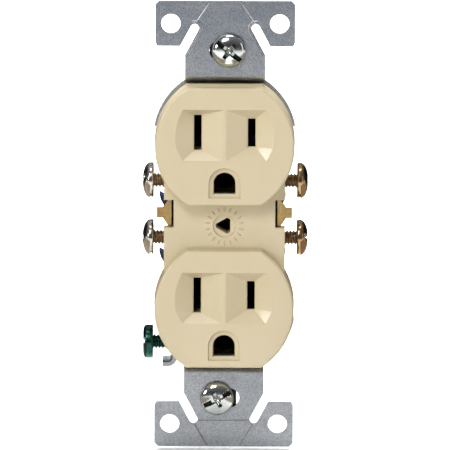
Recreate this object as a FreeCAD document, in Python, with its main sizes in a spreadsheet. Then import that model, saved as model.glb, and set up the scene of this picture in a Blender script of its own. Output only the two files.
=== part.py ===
"""Duplex wall outlet: moulded cover, steel strap, back body, contacts, clips and screws.

Frame: +Z up along the strap, -Y out of the wall towards the user, +X to the user's right.
The origin is the middle of the outlet in the plane that the strap's ears rest on.
"""
import FreeCAD
import Part
import Sketcher

import math
import os
import re

from FreeCAD import Rotation, Vector

doc = FreeCAD.newDocument("DuplexOutlet")

# ---------------------------------------------------------------- driving dimensions (mm)
DIMENSIONS = {
    # steel strap
    "strap_thick": 1.0, "strap_half_long": 53.4, "ear_half_wide": 16.45, "ear_inner": 42.7,
    "ear_bevel": 0.9, "neck_half_wide": 9.45, "neck_root": 37.0, "joggle_depth": 4.0,
    "joggle_front": 34.9, "joggle_rise": 1.2, "bend_extra": 0.74, "bend_outer": 0.9,
    "bend_inner": 0.3,
    "ear_hole_across": 12.8, "ear_hole_up": 48.0, "ear_hole_rad": 2.3,
    "oval_up": 41.67, "oval_rad": 2.25, "oval_reach": 1.52,
    "split_end_across": 7.2, "split_end_up": 46.9, "split_half_wide": 1.03, "split_angle": 28.0,
    "split_long": 9.0,
    "score_deep": 0.25, "score_wide": 0.3, "score_top_across": 3.5,
    "shoulder_rad": 17.0, "shoulder_lift": 0.5, "shoulder_half_wide": 16.6,
    "shoulder_low": 23.0, "window_outer": 11.2, "window_top": 28.35, "web_half_wide": 3.2,
    "eye_rad": 4.8, "eye_hole_rad": 2.8, "lower_shoulder_top": 22.6,
    # ground terminal folded from the strap
    "tab_across": -11.7, "tab_thick": 1.0, "tab_top": -24.6, "tab_bend": 1.6, "tab_low": -34.35,
    "tab_tip": -14.6, "tab_back": 11.0, "ground_screw_back": 7.4, "ground_screw_up": -29.65,
    # cover
    "face_up": 19.45, "face_rad": 16.6, "face_draft": 0.15, "face_chord": 13.95,
    "face_front": -6.5, "face_round": 0.55, "bridge_front": -2.5, "cover_back": 2.98,
    "flange_half_wide": 14.3, "flange_half_high": 27.5, "lip_half_wide": 9.1, "lip_high": 0.5,
    "lip_thick": 0.9, "bay_front": 0.55, "bay_inner": 12.35, "bay_low": -10.4, "bay_high": 16.2,
    "notch_inner": 12.0, "notch_half_high": 3.3, "blade_across": 6.35, "blade_up": 3.2,
    "slot_wide": 1.75, "long_slot_high": 8.35, "short_slot_high": 6.7, "slot_bevel": 0.28,
    "funnel_top": 8.9, "funnel_low": -3.3, "funnel_ridge": 0.35, "funnel_corner": 9.85,
    "funnel_belly": 11.35, "funnel_belly_low": -0.4, "funnel_rad": 13.0, "funnel_deep": 2.0,
    "facet_rise": 0.5, "pin_drop": 8.7, "pin_hole_rad": 2.55, "pin_hole_low": 2.55,
    "frame_rad": 3.7, "frame_low": 3.45, "frame_deep": 0.5,
    "well_inner": 4.0, "well_outer": 8.7, "well_half_high": 4.5, "well_front": -3.6,
    "pin_well_half": 3.6, "pin_well_low": 3.9, "pin_well_high": 6.3, "pin_well_front": -4.4,
    "dish_rad": 2.7, "dish_deep": 0.4, "plate_hole_reach": 2.0, "plate_hole_flat": 0.85,
    # contacts
    "sheet_thick": 0.8, "bus_across": 12.5, "bus_mid": 2.9, "bus_gap": 1.7, "bus_reach": 11.9,
    "bus_back": 12.4, "strip_inner": 9.0, "branch_inner": 4.45, "contact_half_high": 3.0,
    "leaf_thick": 0.5, "leaf_root": 1.45, "leaf_pinch": 0.82, "leaf_mouth": 1.5,
    "leaf_front": -3.2, "leaf_pinch_front": -0.6,
    "tab_half_high": 1.2, "tab_slant": 1.3, "tab_wide_half": 3.1, "tab_reach": 16.0, "tab_front": -0.9,
    "land_across": 11.0, "land_back": 19.0, "land_half_high": 2.2,
    "clip_gap": 0.3, "clip_start": 0.6, "clip_bend": 1.7, "clip_grip": 1.35, "clip_tip": 2.2,
    "pin_plate_thick": 0.5, "pin_plate_half": 3.1, "pin_plate_low": 3.4, "pin_plate_high": 6.0,
    "pin_leaf_pinch": 2.3, "pin_leaf_mouth": 2.75, "pin_leaf_half_high": 2.2,
    "rivet_up": 4.6, "rivet_rad": 0.9, "rivet_head_rad": 1.5, "rivet_head_high": 0.5,
    # back body
    "body_half_wide": 13.4, "body_front": 4.02, "body_back": 22.0, "body_high": 26.5,
    "body_low": -27.4, "body_round": 2.0, "lug_half_wide": 9.9, "lug_end": 33.0, "lug_back": 7.0,
    "room_inner": 3.9, "room_outer": 12.05, "room_back": 12.6, "room_low": -20.2,
    "room_high": 25.9, "ground_room_side": 1.3, "ground_room_end": 0.9, "ground_shank_end": 5.4,
    "chamber_inner": 6.4, "chamber_half": 3.1, "chamber_back": 20.4,
    "wire_hole_across": 10.0, "wire_hole_rad": 1.15, "release_across": 7.4,
    "release_wide": 1.3, "release_high": 3.2, "pin_room_rad": 3.0, "pin_room_back": 16.0,
    "plate_room_rad": 2.4, "plate_room_back": 14.0, "fin_front": 9.6, "fin_back": 15.0,
    "fin_root": 13.0, "fin_long": 15.5, "fin_short": 14.6, "fin_foot": 7.25, "fin_mid": 5.6,
    "fin_top": 4.2, "fin_foot_inset": 1.3, "fin_mid_inset": 0.35,
    "rim_inner": 11.6, "rim_front": 3.0, "pin_house_half": 4.7, "pin_house_back": 17.5,
    "panel_half_wide": 5.0, "panel_half_high": 6.4, "panel_deep": 0.5, "gauge_half_long": 6.0,
    "gauge_high": 19.5, "gauge_low": -19.0,
    # fasteners
    "terminal_back": 5.0, "terminal_apart": 6.85, "thread_rad": 1.75, "thread_gap": 0.05,
    "terminal_long": 6.2, "terminal_head_rad": 4.2, "terminal_head_high": 2.6,
    "silver_seat": 16.8, "brass_seat": 17.2, "green_seat": 16.85, "green_long": 6.4,
    "green_head_rad": 4.0, "green_head_high": 2.4,
    "mount_head_rad": 4.0, "mount_head_high": 2.3, "mount_long": 19.0, "mount_neck": 3.0,
    "neck_rad": 1.4, "tip_rad": 1.26, "tip_chamfer": 0.6, "head_edge": 0.42, "head_crown": 1.75,
    "upper_mount_across": 0.9, "lower_mount_across": -1.6,
    "retainer_half_wide": 4.6, "retainer_half_high": 3.7, "retainer_thick": 0.8,
    "face_gap": 0.04, "drive_wide": 1.1, "drive_deep": 1.2, "drive_slot": 0.86,
    "drive_cross": 0.8, "drive_short": 0.5,
    "join_across": 7.5, "join_up": 30.2, "join_rad": 1.1, "join_gap": 0.04, "join_head_rad": 2.1,
    "join_head_high": 1.4, "join_tip": -2.8,
}

sheet = doc.addObject("Spreadsheet::Sheet", "Dims")
for row, (alias, amount) in enumerate(DIMENSIONS.items(), start=1):
    sheet.set("A%d" % row, alias)
    sheet.set("B%d" % row, str(amount))
    sheet.setAlias("B%d" % row, alias)
doc.recompute()

WORD = re.compile(r"[a-z][a-z_]*")
SIDES = {"X": 0, "Y": 1, "Z": 2}
SUBPARTS = []


# ---------------------------------------------------------------- small helpers
def link(text):
    """The expression with every sheet alias written as a reference to its cell."""
    return WORD.sub(lambda word: "Dims." + word.group() if word.group() in DIMENSIONS
                    else word.group(), text)


def value(text):
    return float(sheet.evalExpression(link(text)))


def bind(thing, prop, text):
    thing.setExpression(prop, link(text))


def place(thing, spot):
    for letter, text in zip("xyz", spot):
        bind(thing, "Placement.Base." + letter, text)


def box(name, across, back, up):
    """A block between two values on each axis, all of them expressions."""
    block = doc.addObject("Part::Box", name)
    place(block, (across[0], back[0], up[0]))
    for prop, (low, high) in zip(("Length", "Width", "Height"), (across, back, up)):
        bind(block, prop, "(%s) - (%s)" % (high, low))
    return block


TURNS = {"X": Rotation(Vector(0, 1, 0), 90), "Y": Rotation(Vector(1, 0, 0), -90),
         "Z": Rotation()}


def rod(name, axis, radius, low, high, centre):
    """A cylinder along an axis from low to high; centre holds the other two coordinates."""
    bar = doc.addObject("Part::Cylinder", name)
    bar.Placement.Rotation = TURNS[axis]
    spot = list(centre)
    spot.insert(SIDES[axis], low)
    place(bar, spot)
    bind(bar, "Radius", radius)
    bind(bar, "Height", "(%s) - (%s)" % (high, low))
    return bar


def fuse(name, pieces):
    joined = doc.addObject("Part::MultiFuse", name)
    joined.Shapes = pieces
    joined.Refine = True
    return joined


def cut(name, base, tools):
    tool = tools[0] if len(tools) == 1 else fuse(name + "_tools", tools)
    result = doc.addObject("Part::Cut", name)
    result.Base = base
    result.Tool = tool
    result.Refine = True
    return result


def common(name, first, second):
    result = doc.addObject("Part::Common", name)
    result.Base = first
    result.Tool = second
    return result


PLANES = {"XY": Rotation(), "XZ": Rotation(Vector(1, 0, 0), 90),
          "YZ": Rotation(Vector(1, 1, 1), 120)}
NORMALS = {"XY": "Z", "XZ": "Y", "YZ": "X"}


def arc_between(start, end, radius):
    """The minor arc from start to end; a positive radius turns left, a negative one right."""
    chord = end - start
    left = Vector(-chord.y, chord.x, 0).normalize()
    reach = math.sqrt(max(radius * radius - chord.Length ** 2 / 4, 0))
    centre = (start + end) * 0.5 + left * math.copysign(reach, radius)
    first, last = (start, end) if radius > 0 else (end, start)
    angles = [math.atan2(point.y - centre.y, point.x - centre.x) for point in (first, last)]
    if angles[1] < angles[0]:
        angles[1] += 2 * math.pi
    circle = Part.Circle(centre, Vector(0, 0, 1), abs(radius))
    return Part.ArcOfCircle(circle, angles[0], angles[1])


def draw(sketch, corners):
    """Close an outline through corners (u, v) or (u, v, radius of the arc to the next one)."""
    spots = [Vector(value(corner[0]), value(corner[1]), 0) for corner in corners]
    ends = []
    for index, corner in enumerate(corners):
        start = spots[index]
        end = spots[(index + 1) % len(spots)]
        if len(corner) == 2:
            sketch.addGeometry(Part.LineSegment(start, end))
            ends.append((index, 1, 2))
            continue
        radius = value(corner[2])
        sketch.addGeometry(arc_between(start, end, radius))
        ends.append((index, 1, 2) if radius > 0 else (index, 2, 1))
        number = sketch.addConstraint(Sketcher.Constraint("Radius", index, abs(radius)))
        bind(sketch, "Constraints[%d]" % number, "abs(%s)" % corner[2])
    for index, corner in enumerate(corners):
        edge, start, _ = ends[index]
        before, _, end = ends[index - 1]
        sketch.addConstraint(Sketcher.Constraint("Coincident", before, end, edge, start))
        for kind, text, amount, axis in (("DistanceX", corner[0], spots[index].x, -2),
                                         ("DistanceY", corner[1], spots[index].y, -1)):
            if abs(amount) < 1e-9:
                sketch.addConstraint(Sketcher.Constraint("PointOnObject", edge, start, axis))
                continue
            rule = Sketcher.Constraint(kind, -1, 1, edge, start, amount)
            number = sketch.addConstraint(rule)
            bind(sketch, "Constraints[%d]" % number, text)


def outline(name, plane, level, corners):
    """A closed sketch in a plane at a level along that plane's normal axis."""
    sketch = doc.addObject("Sketcher::SketchObject", name)
    sketch.Placement.Rotation = PLANES[plane]
    bind(sketch, "Placement.Base." + NORMALS[plane].lower(), level)
    draw(sketch, corners)
    return sketch


def prism(name, plane, low, high, corners):
    """An outline pushed from low to high along its plane's normal axis."""
    sketch = outline(name + "_outline", plane, low, corners)
    solid = doc.addObject("Part::Extrusion", name)
    solid.Base = sketch
    solid.DirMode = "Custom"
    solid.Dir = Vector(*[1 if axis == NORMALS[plane] else 0 for axis in "XYZ"])
    solid.Solid = True
    bind(solid, "LengthFwd", "(%s) - (%s)" % (high, low))
    return solid


def loft(name, plane, sections):
    """A ruled solid through outlines given as (level, corners)."""
    solid = doc.addObject("Part::Loft", name)
    solid.Sections = [outline("%s_section_%d" % (name, index), plane, level, corners)
                      for index, (level, corners) in enumerate(sections)]
    solid.Solid = True
    solid.Ruled = True
    return solid


def rectangle(left, right, low, high):
    return [(left, low), (right, low), (right, high), (left, high)]


def mirrored(corners):
    """The same outline on the other side of the vertical plane through the middle."""
    flipped = []
    count = len(corners)
    for index in range(count):
        corner = corners[-index % count]
        before = corners[(-index - 1) % count]
        spot = ("-(%s)" % corner[0], corner[1])
        flipped.append(spot + tuple(before[2:]))
    return flipped


def sided(side, low, high):
    """A span on the left (-1) or right (+1) side of the middle, in rising order."""
    return (low, high) if side > 0 else ("-(%s)" % high, "-(%s)" % low)


def signed(side, text):
    return text if side > 0 else "-(%s)" % text


def rounded(name, base, radius, chosen):
    """A fillet on the edges that the test picks."""
    doc.recompute()
    fillet = doc.addObject("Part::Fillet", name)
    fillet.Base = base
    size = value(radius)
    fillet.Edges = [(index, size, size) for index, edge in enumerate(base.Shape.Edges, start=1)
                    if chosen(edge)]
    return fillet


def subpart(thing, label):
    thing.Label = label
    SUBPARTS.append(thing)
    return thing


def lies_at(edge, axis, level):
    """True where every corner of the edge has the given coordinate."""
    return all(abs(vertex.Point[SIDES[axis]] - level) < 1e-4 for vertex in edge.Vertexes)


# ---------------------------------------------------------------- face_cover
FACES = (("upper", "face_up"), ("lower", "-face_up"))
HANDS = (("left", -1, "long_slot_high"), ("right", 1, "short_slot_high"))
JOINS = (("-join_across", "join_up"), ("join_across", "join_up"), ("join_across", "-join_up"))


def face_disc(name, height):
    """One drafted round face with a flat at its top and bottom and a soft front edge."""
    cone = doc.addObject("Part::Cone", name + "_cone")
    cone.Placement.Rotation = TURNS["Y"]
    place(cone, ("0", "face_front", height))
    bind(cone, "Radius1", "face_rad - face_draft")
    bind(cone, "Radius2", "face_rad")
    bind(cone, "Height", "cover_back - face_front")
    bounds = box(name + "_bounds", ("-face_rad", "face_rad"), ("face_front", "cover_back"),
                 ("%s - face_chord" % height, "%s + face_chord" % height))
    disc = common(name + "_disc", cone, bounds)
    front = value("face_front")
    return rounded(name + "_face", disc, "face_round", lambda edge: lies_at(edge, "Y", front))


def slot_corners(side, height, slot_high, grow):
    """Five corners of a blade slot, so that it matches the funnel's five sides."""
    near = "blade_across - slot_wide / 2 - %s" % grow
    far = "blade_across + slot_wide / 2 + %s" % grow
    low = "%s + blade_up - %s / 2 - %s" % (height, slot_high, grow)
    high = "%s + blade_up + %s / 2 + %s" % (height, slot_high, grow)
    corners = [(near, low), (far, low), (far, "%s + facet_rise" % low), (far, high), (near, high)]
    return corners if side > 0 else mirrored(corners)


def funnel(name, side, height, slot_high):
    """A sloped lead-in to a blade slot: four facets, the outer one bowed, and a corner facet."""
    rim = [("funnel_ridge", "%s + funnel_low" % height),
           ("funnel_corner", "%s + funnel_low" % height),
           ("funnel_belly", "%s + funnel_belly_low" % height, "funnel_rad"),
           ("funnel_corner", "%s + funnel_top" % height),
           ("funnel_ridge", "%s + funnel_top" % height)]
    rim = rim if side > 0 else mirrored(rim)
    seat = slot_corners(side, height, slot_high, "slot_bevel")
    throat = slot_corners(side, height, slot_high, "0")
    floor = "face_front + funnel_deep"
    lead = loft(name + "_lead", "XZ", [("face_front", rim), (floor, seat)])
    bevel = loft(name + "_bevel", "XZ", [(floor, seat), (floor + " + slot_bevel", throat)])
    shaft = prism(name + "_shaft", "XZ", floor, "well_front + 0.1", throat)
    return [lead, bevel, shaft]


def arch(centre, radius, low):
    """An outline with a half-round top and a flat bottom."""
    return [("-(%s)" % radius, "%s - %s" % (centre, low)), (radius, "%s - %s" % (centre, low)),
            (radius, centre, radius), ("0", "%s + %s" % (centre, radius), radius),
            ("-(%s)" % radius, centre)]


def pin_hole(name, height):
    """The arched ground hole, its bevel and the shallow frame around it."""
    centre = "%s - pin_drop" % height
    frame = prism(name + "_frame", "XZ", "face_front - 0.1", "face_front + frame_deep",
                  arch(centre, "frame_rad", "frame_low"))
    wide = arch(centre, "(pin_hole_rad + slot_bevel)", "(pin_hole_low + slot_bevel)")
    true = arch(centre, "pin_hole_rad", "pin_hole_low")
    start = "face_front + frame_deep"
    bevel = loft(name + "_bevel", "XZ", [(start, wide), (start + " + slot_bevel", true)])
    shaft = prism(name + "_shaft", "XZ", start, "pin_well_front + 0.1", true)
    well = box(name + "_well", ("-pin_well_half", "pin_well_half"),
               ("pin_well_front", "cover_back + 0.1"),
               (centre + " - pin_well_low", centre + " + pin_well_high"))
    return [frame, bevel, shaft, well]


def plate_hole():
    """The three-sided hole that a wall plate's screw cuts its own thread in, in a shallow dish."""
    dish = rod("plate_dish", "Y", "dish_rad", "bridge_front - 0.1", "bridge_front + dish_deep",
               ("0", "0"))
    corners = []
    for turn in (180, 300, 60):
        for lean in (-1, 1):
            across = "plate_hole_reach * cos(%d) - %d * plate_hole_flat / 2 * sin(%d)"
            up = "plate_hole_reach * sin(%d) + %d * plate_hole_flat / 2 * cos(%d)"
            corners.append((across % (turn, lean, turn), up % (turn, lean, turn)))
    hole = prism("plate_hole", "XZ", "bridge_front", "cover_back + 0.1", corners)
    return [dish, hole]


def make_cover():
    discs = [face_disc(name, height) for name, height in FACES]
    flange = box("flange", ("-flange_half_wide", "flange_half_wide"),
                 ("bridge_front", "cover_back"), ("-flange_half_high", "flange_half_high"))
    spans = (("top", "face_up + face_chord - 1", "face_up + face_chord + lip_high"),
             ("bottom", "-face_up - face_chord - lip_high", "-face_up - face_chord + 1"))
    lips = [box("lip_" + name, ("-lip_half_wide", "lip_half_wide"),
                ("bridge_front", "bridge_front + lip_thick"), (low, high))
            for name, low, high in spans]
    blank = fuse("cover_blank", discs + [flange] + lips)
    tools = plate_hole()
    for name, height in FACES:
        for hand, side, slot_high in HANDS:
            label = "%s_%s" % (name, hand)
            tools += funnel(label, side, height, slot_high)
            tools.append(box(label + "_well", sided(side, "well_inner", "well_outer"),
                             ("well_front", "cover_back + 0.1"),
                             ("%s + blade_up - well_half_high" % height,
                              "%s + blade_up + well_half_high" % height)))
        tools += pin_hole(name + "_pin", height)
    for hand, side, _ in HANDS:
        tools.append(box(hand + "_bay", sided(side, "bay_inner", "face_rad + 1"),
                         ("bay_front", "cover_back + 0.1"), ("bay_low", "bay_high")))
        tools.append(box(hand + "_notch", sided(side, "notch_inner", "face_rad + 1"),
                         ("bridge_front - 0.1", "cover_back + 0.1"),
                         ("bus_mid - notch_half_high", "bus_mid + notch_half_high")))
    for index, (across, up) in enumerate(JOINS):
        tools.append(rod("pilot_%d" % index, "Y", "join_rad + join_gap", "join_tip - 0.3",
                         "cover_back + 0.1", (across, up)))
    subpart(cut("cover", blank, tools), "face_cover")


# ---------------------------------------------------------------- mounting_strap
ENDS = (("top", ""), ("base", "-"))


def ear(name, sign):
    """One flat end of the strap, with its split slots, oval slot, round holes and scores."""
    def up(text):
        return "%s(%s)" % (sign, text)

    half = [("neck_half_wide", up("neck_root - 1")), ("neck_half_wide", up("ear_inner")),
            ("ear_half_wide - ear_bevel / 2", up("ear_inner")),
            ("ear_half_wide", up("ear_inner + ear_bevel")),
            ("ear_half_wide", up("strap_half_long - ear_bevel")),
            ("ear_half_wide - ear_bevel", up("strap_half_long"))]
    ring = half + [("-(%s)" % across, height) for across, height in reversed(half)]
    blank = prism(name + "_ear", "XZ", "-strap_thick", "0", ring)
    tools = []
    low, high = "-strap_thick - 0.1", "0.1"
    for hand, side, _ in HANDS:
        tools.append(rod("%s_%s_hole" % (name, hand), "Y", "ear_hole_rad", low, high,
                         (signed(side, "ear_hole_across"), up("ear_hole_up"))))
        tools.append(rod("%s_%s_split_end" % (name, hand), "Y", "split_half_wide", low, high,
                         (signed(side, "split_end_across"), up("split_end_up"))))
        tools.append(prism("%s_%s_split" % (name, hand), "XZ", low, high,
                           split_corners(side, up)))
        tools.append(prism("%s_%s_score" % (name, hand), "XZ", low, "score_deep - strap_thick",
                           score_corners(side, up)))
    if sign:
        tools.append(box(name + "_score", ("-split_end_across", "split_end_across"),
                         (low, "score_deep - strap_thick"),
                         (up("split_end_up + score_wide"), up("split_end_up"))))
    tools.append(box(name + "_oval", ("-oval_reach", "oval_reach"), (low, high),
                     (up("oval_up") + " - oval_rad", up("oval_up") + " + oval_rad")))
    for hand, side, _ in HANDS:
        tools.append(rod("%s_%s_oval" % (name, hand), "Y", "oval_rad", low, high,
                         (signed(side, "oval_reach"), up("oval_up"))))
    return cut(name + "_ear_cut", blank, tools)


def split_corners(side, up):
    """The slanted slot that lets an ear be snapped off, open at its outer end."""
    corners = []
    for along, lean in ((0, -1), (1, -1), (1, 1), (0, 1)):
        across = ("split_end_across + %d * split_long * sin(split_angle)"
                  " + %d * split_half_wide * cos(split_angle)" % (along, lean))
        height = ("split_end_up - %d * split_long * cos(split_angle)"
                  " + %d * split_half_wide * sin(split_angle)" % (along, lean))
        corners.append((signed(side, across), up(height)))
    return corners


def score_corners(side, up):
    """The scored line from a slot's end to the end of the strap."""
    foot = "split_end_across - score_wide"
    head = "score_top_across"
    return [(signed(side, foot), up("split_end_up + split_half_wide - 0.2")),
            (signed(side, foot + " + score_wide"), up("split_end_up + split_half_wide - 0.2")),
            (signed(side, head + " + score_wide"), up("strap_half_long + 0.1")),
            (signed(side, head), up("strap_half_long + 0.1"))]


def joggle(name, sign):
    """The neck's double bend, from the ear's plane back to the plate's plane."""
    def up(text):
        return "%s(%s)" % (sign, text)

    rise = "joggle_front - joggle_rise"
    corners = [("-strap_thick", up("neck_root")), ("0", up("neck_root")),
               ("0", up("joggle_front + bend_extra")),
               ("joggle_depth", up(rise + " + bend_extra")),
               ("joggle_depth", up(rise + " - 1")),
               ("joggle_depth - strap_thick", up(rise + " - 1")),
               ("joggle_depth - strap_thick", up(rise)), ("-strap_thick", up("joggle_front"))]
    bent = prism(name + "_joggle", "YZ", "-neck_half_wide", "neck_half_wide", corners)
    for label, radius, marks in (
            ("outer", "bend_outer", (("-strap_thick", "joggle_front"),
                                     ("joggle_depth", rise + " + bend_extra"))),
            ("inner", "bend_inner", (("0", "joggle_front + bend_extra"),
                                     ("joggle_depth - strap_thick", rise)))):
        spots = [(value(back), value(up(height))) for back, height in marks]
        bent = rounded("%s_joggle_%s" % (name, label), bent, radius,
                       lambda edge: any(lies_at(edge, "Y", back) and lies_at(edge, "Z", height)
                                        for back, height in spots))
    return bent


def plate_half():
    """The right half of the hidden plate, from its top middle to its bottom middle."""
    shoulder = "sqrt(shoulder_rad ^ 2 - %s ^ 2) + face_up + shoulder_lift"
    eye = "sqrt(eye_rad ^ 2 - web_half_wide ^ 2)"
    return [("shoulder_half_wide", shoulder % "shoulder_half_wide", "shoulder_rad"),
            ("neck_half_wide", shoulder % "neck_half_wide")], [
            ("neck_half_wide", "-(%s)" % (shoulder % "neck_half_wide"), "shoulder_rad"),
            ("shoulder_half_wide", "-(%s)" % (shoulder % "shoulder_half_wide")),
            ("shoulder_half_wide", "-lower_shoulder_top"), ("web_half_wide", "-lower_shoulder_top"),
            ("web_half_wide", "face_up - pin_drop - " + eye, "eye_rad"),
            ("web_half_wide", "face_up - pin_drop + " + eye), ("web_half_wide", "window_top"),
            ("window_outer", "window_top"), ("window_outer", "shoulder_low"),
            ("shoulder_half_wide", "shoulder_low")]


def ground_tab():
    """The folded tab that takes the ground screw, with its lower edge turned outwards."""
    inner = "tab_across + tab_thick / 2"
    outer = "tab_across - tab_thick / 2"
    turn = "tab_low + tab_bend"
    corners = [(outer, "tab_top"), (outer, turn, "-(tab_bend - tab_thick / 2)"),
               ("tab_across - tab_bend", "tab_low + tab_thick / 2"),
               ("tab_tip", "tab_low + tab_thick / 2"), ("tab_tip", "tab_low - tab_thick / 2"),
               ("tab_across - tab_bend", "tab_low - tab_thick / 2", "tab_bend + tab_thick / 2"),
               (inner, turn), (inner, "tab_top")]
    return prism("ground_tab", "XZ", "joggle_depth - strap_thick", "tab_back", corners)


def make_strap():
    pieces = []
    for name, sign in ENDS:
        pieces.append(ear(name, sign))
        pieces.append(joggle(name, sign))
    top, rest = plate_half()
    right = rest + top
    left = mirrored(right)
    ring = right + left[1:] + left[:1]
    plate = prism("plate", "XZ", "joggle_depth - strap_thick", "joggle_depth", ring)
    clear = box("ground_clear", ("-shoulder_rad", "tab_across - tab_thick / 2"),
                ("joggle_depth - strap_thick - 0.1", "joggle_depth + 0.1"),
                ("-face_up - shoulder_rad", "-lower_shoulder_top + 0.1"))
    pieces.append(cut("plate_cleared", plate, [clear]))
    pieces.append(ground_tab())
    blank = fuse("strap_blank", pieces)
    low, high = "joggle_depth - strap_thick - 0.1", "joggle_depth + 0.1"
    tools = [rod("plate_pass", "Y", "plate_room_rad - 0.2", low, high, ("0", "0")),
             rod("ground_tapping", "X", "thread_rad + thread_gap", "tab_across - tab_thick",
                 "tab_across + tab_thick", ("ground_screw_back", "ground_screw_up"))]
    for name, height in FACES:
        centre = "%s - pin_drop" % height
        tools.append(rod(name + "_eye", "Y", "eye_hole_rad", low, high, ("0", centre)))
        tools.append(rod(name + "_rivet_hole", "Y", "rivet_rad + join_gap", low, high,
                         ("0", centre + " + rivet_up")))
    for index, (across, up) in enumerate(JOINS):
        tools.append(rod("strap_join_%d" % index, "Y", "join_rad + 0.2", low, high, (across, up)))
    subpart(cut("strap", blank, tools), "mounting_strap")


# ---------------------------------------------------------------- back_body
TERMINALS = (("upper", "bus_mid + terminal_apart"), ("lower", "bus_mid - terminal_apart"))


def fin(name, side, height, tip):
    """A slanted leaf below a terminal that keeps the wire's turn in place."""
    drop = "%s - " % height
    corners = [("fin_root", drop + "fin_foot"), (tip + " - fin_foot_inset", drop + "fin_foot"),
               (tip + " - fin_mid_inset", drop + "fin_mid"), (tip, drop + "fin_top"),
               ("fin_root", drop + "fin_mid")]
    corners = corners if side > 0 else mirrored(corners)
    return prism(name, "XZ", "fin_front", "fin_back", corners)


def make_body():
    wide = ("-body_half_wide", "body_half_wide")
    block = box("block", wide, ("body_front", "body_back"), ("body_low", "body_high"))
    side = value("body_half_wide")
    front = value("body_front")
    block = rounded("block_round", block, "body_round",
                    lambda edge: (lies_at(edge, "X", side) or lies_at(edge, "X", -side))
                    and not lies_at(edge, "Y", front))
    lugs = box("lugs", ("-lug_half_wide", "lug_half_wide"), ("body_front", "lug_back"),
               ("-lug_end", "lug_end"))
    house = box("pin_house", ("-pin_house_half", "pin_house_half"), ("body_front", "pin_house_back"),
                ("-lug_end", "body_low + 1"))
    pieces = [block, lugs, house]
    for hand, side, _ in HANDS:
        for level, span in (("high", ("bay_high + 0.2", "shoulder_low - 0.2")),
                            ("low", ("0.2 - lower_shoulder_top", "bay_low - 0.2"))):
            pieces.append(box("%s_%s_rim" % (hand, level),
                              sided(side, "rim_inner", "body_half_wide"),
                              ("rim_front", "body_front + 0.5"), span))
        for name, height in TERMINALS:
            tip = "fin_long" if side < 0 else "fin_short"
            pieces.append(fin("%s_%s_fin" % (name, hand), side, height, tip))
    tools = [rod("plate_room", "Y", "plate_room_rad", "body_front - 0.1", "plate_room_back",
                 ("0", "0")),
             box("ground_room", ("-body_half_wide - 1", "tab_across + ground_room_side"),
                 ("body_front - 0.1", "tab_back + ground_room_end"),
                 ("-lug_end - 2", "tab_top + ground_room_end")),
             rod("ground_shank_room", "X", "thread_rad + 0.35", "tab_across",
                 "-ground_shank_end", ("ground_screw_back", "ground_screw_up"))]
    for name, height in FACES:
        centre = "%s - pin_drop" % height
        tools.append(rod(name + "_pin_room", "Y", "pin_room_rad", "body_front - 0.1",
                         "pin_room_back", ("0", centre)))
        tools.append(rod(name + "_rivet_room", "Y", "rivet_head_rad + 0.3", "body_front - 0.1",
                         "body_front + rivet_head_high + 0.3", ("0", centre + " + rivet_up")))
    for hand, side, _ in HANDS:
        tools.append(box(hand + "_room", sided(side, "room_inner", "room_outer"),
                         ("body_front - 0.1", "room_back"), ("room_low", "room_high")))
        tools.append(box(hand + "_side_room", sided(side, "room_inner", "body_half_wide + 1"),
                         ("rim_front - 0.1", "room_back"), ("bay_low", "bay_high")))
        for name, height in TERMINALS:
            tools += wire_way("%s_%s" % (name, hand), side, height)
    for index, (across, up) in enumerate(JOINS):
        tools.append(rod("body_join_%d" % index, "Y", "join_rad + 0.2", "body_front - 0.1",
                         "lug_back + 0.1", (across, up)))
    tools += back_relief()
    whole = fuse("body_blank", pieces[:3])
    hollow = cut("body_hollow", whole, tools)
    subpart(fuse("body", [hollow] + pieces[3:]), "back_body")


def back_relief():
    """A sunk panel and two wire-length gauges in the body's back."""
    sunk = ("body_back - panel_deep", "body_back + 0.1")
    panel = box("back_panel", ("-panel_half_wide", "panel_half_wide"), sunk,
                ("bus_mid - panel_half_high", "bus_mid + panel_half_high"))
    gauges = [box("gauge_" + name, ("-gauge_half_long", "gauge_half_long"), sunk,
                  ("%s - wire_hole_rad" % height, "%s + wire_hole_rad" % height))
              for name, height in (("high", "gauge_high"), ("low", "gauge_low"))]
    return [panel] + gauges


def wire_way(name, side, height):
    """The clip's chamber with its wire hole and release slot through the back wall."""
    chamber = box(name + "_chamber", sided(side, "chamber_inner", "room_outer"),
                  ("room_back - 0.1", "chamber_back"),
                  ("%s - chamber_half" % height, "%s + chamber_half" % height))
    hole = rod(name + "_wire_hole", "Y", "wire_hole_rad", "chamber_back - 0.1", "body_back + 0.1",
               (signed(side, "wire_hole_across"), height))
    slot = box(name + "_release", sided(side, "release_across - release_wide / 2",
                                        "release_across + release_wide / 2"),
               ("chamber_back - 0.1", "body_back + 0.1"),
               ("%s - release_high / 2" % height, "%s + release_high / 2" % height))
    return [chamber, hole, slot]


# ---------------------------------------------------------------- bus bars and contacts
def leaf(name, side, spot, lean, height):
    """One bowed leaf of a blade contact, standing forward from the back strip."""
    centre = "blade_across"
    near = [("leaf_root", "bus_back - sheet_thick"), ("leaf_pinch", "leaf_pinch_front"),
            ("leaf_mouth", "leaf_front")]
    inner = [("%s + %d * (%s)" % (centre, lean, off), back) for off, back in near]
    outer = [("%s + %d * (%s + leaf_thick)" % (centre, lean, off), back)
             for off, back in reversed(near)]
    corners = [(signed(side, across), back) for across, back in inner + outer]
    return prism("%s_%s" % (name, spot), "XY", "%s - contact_half_high" % height,
                 "%s + contact_half_high" % height, corners)


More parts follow.
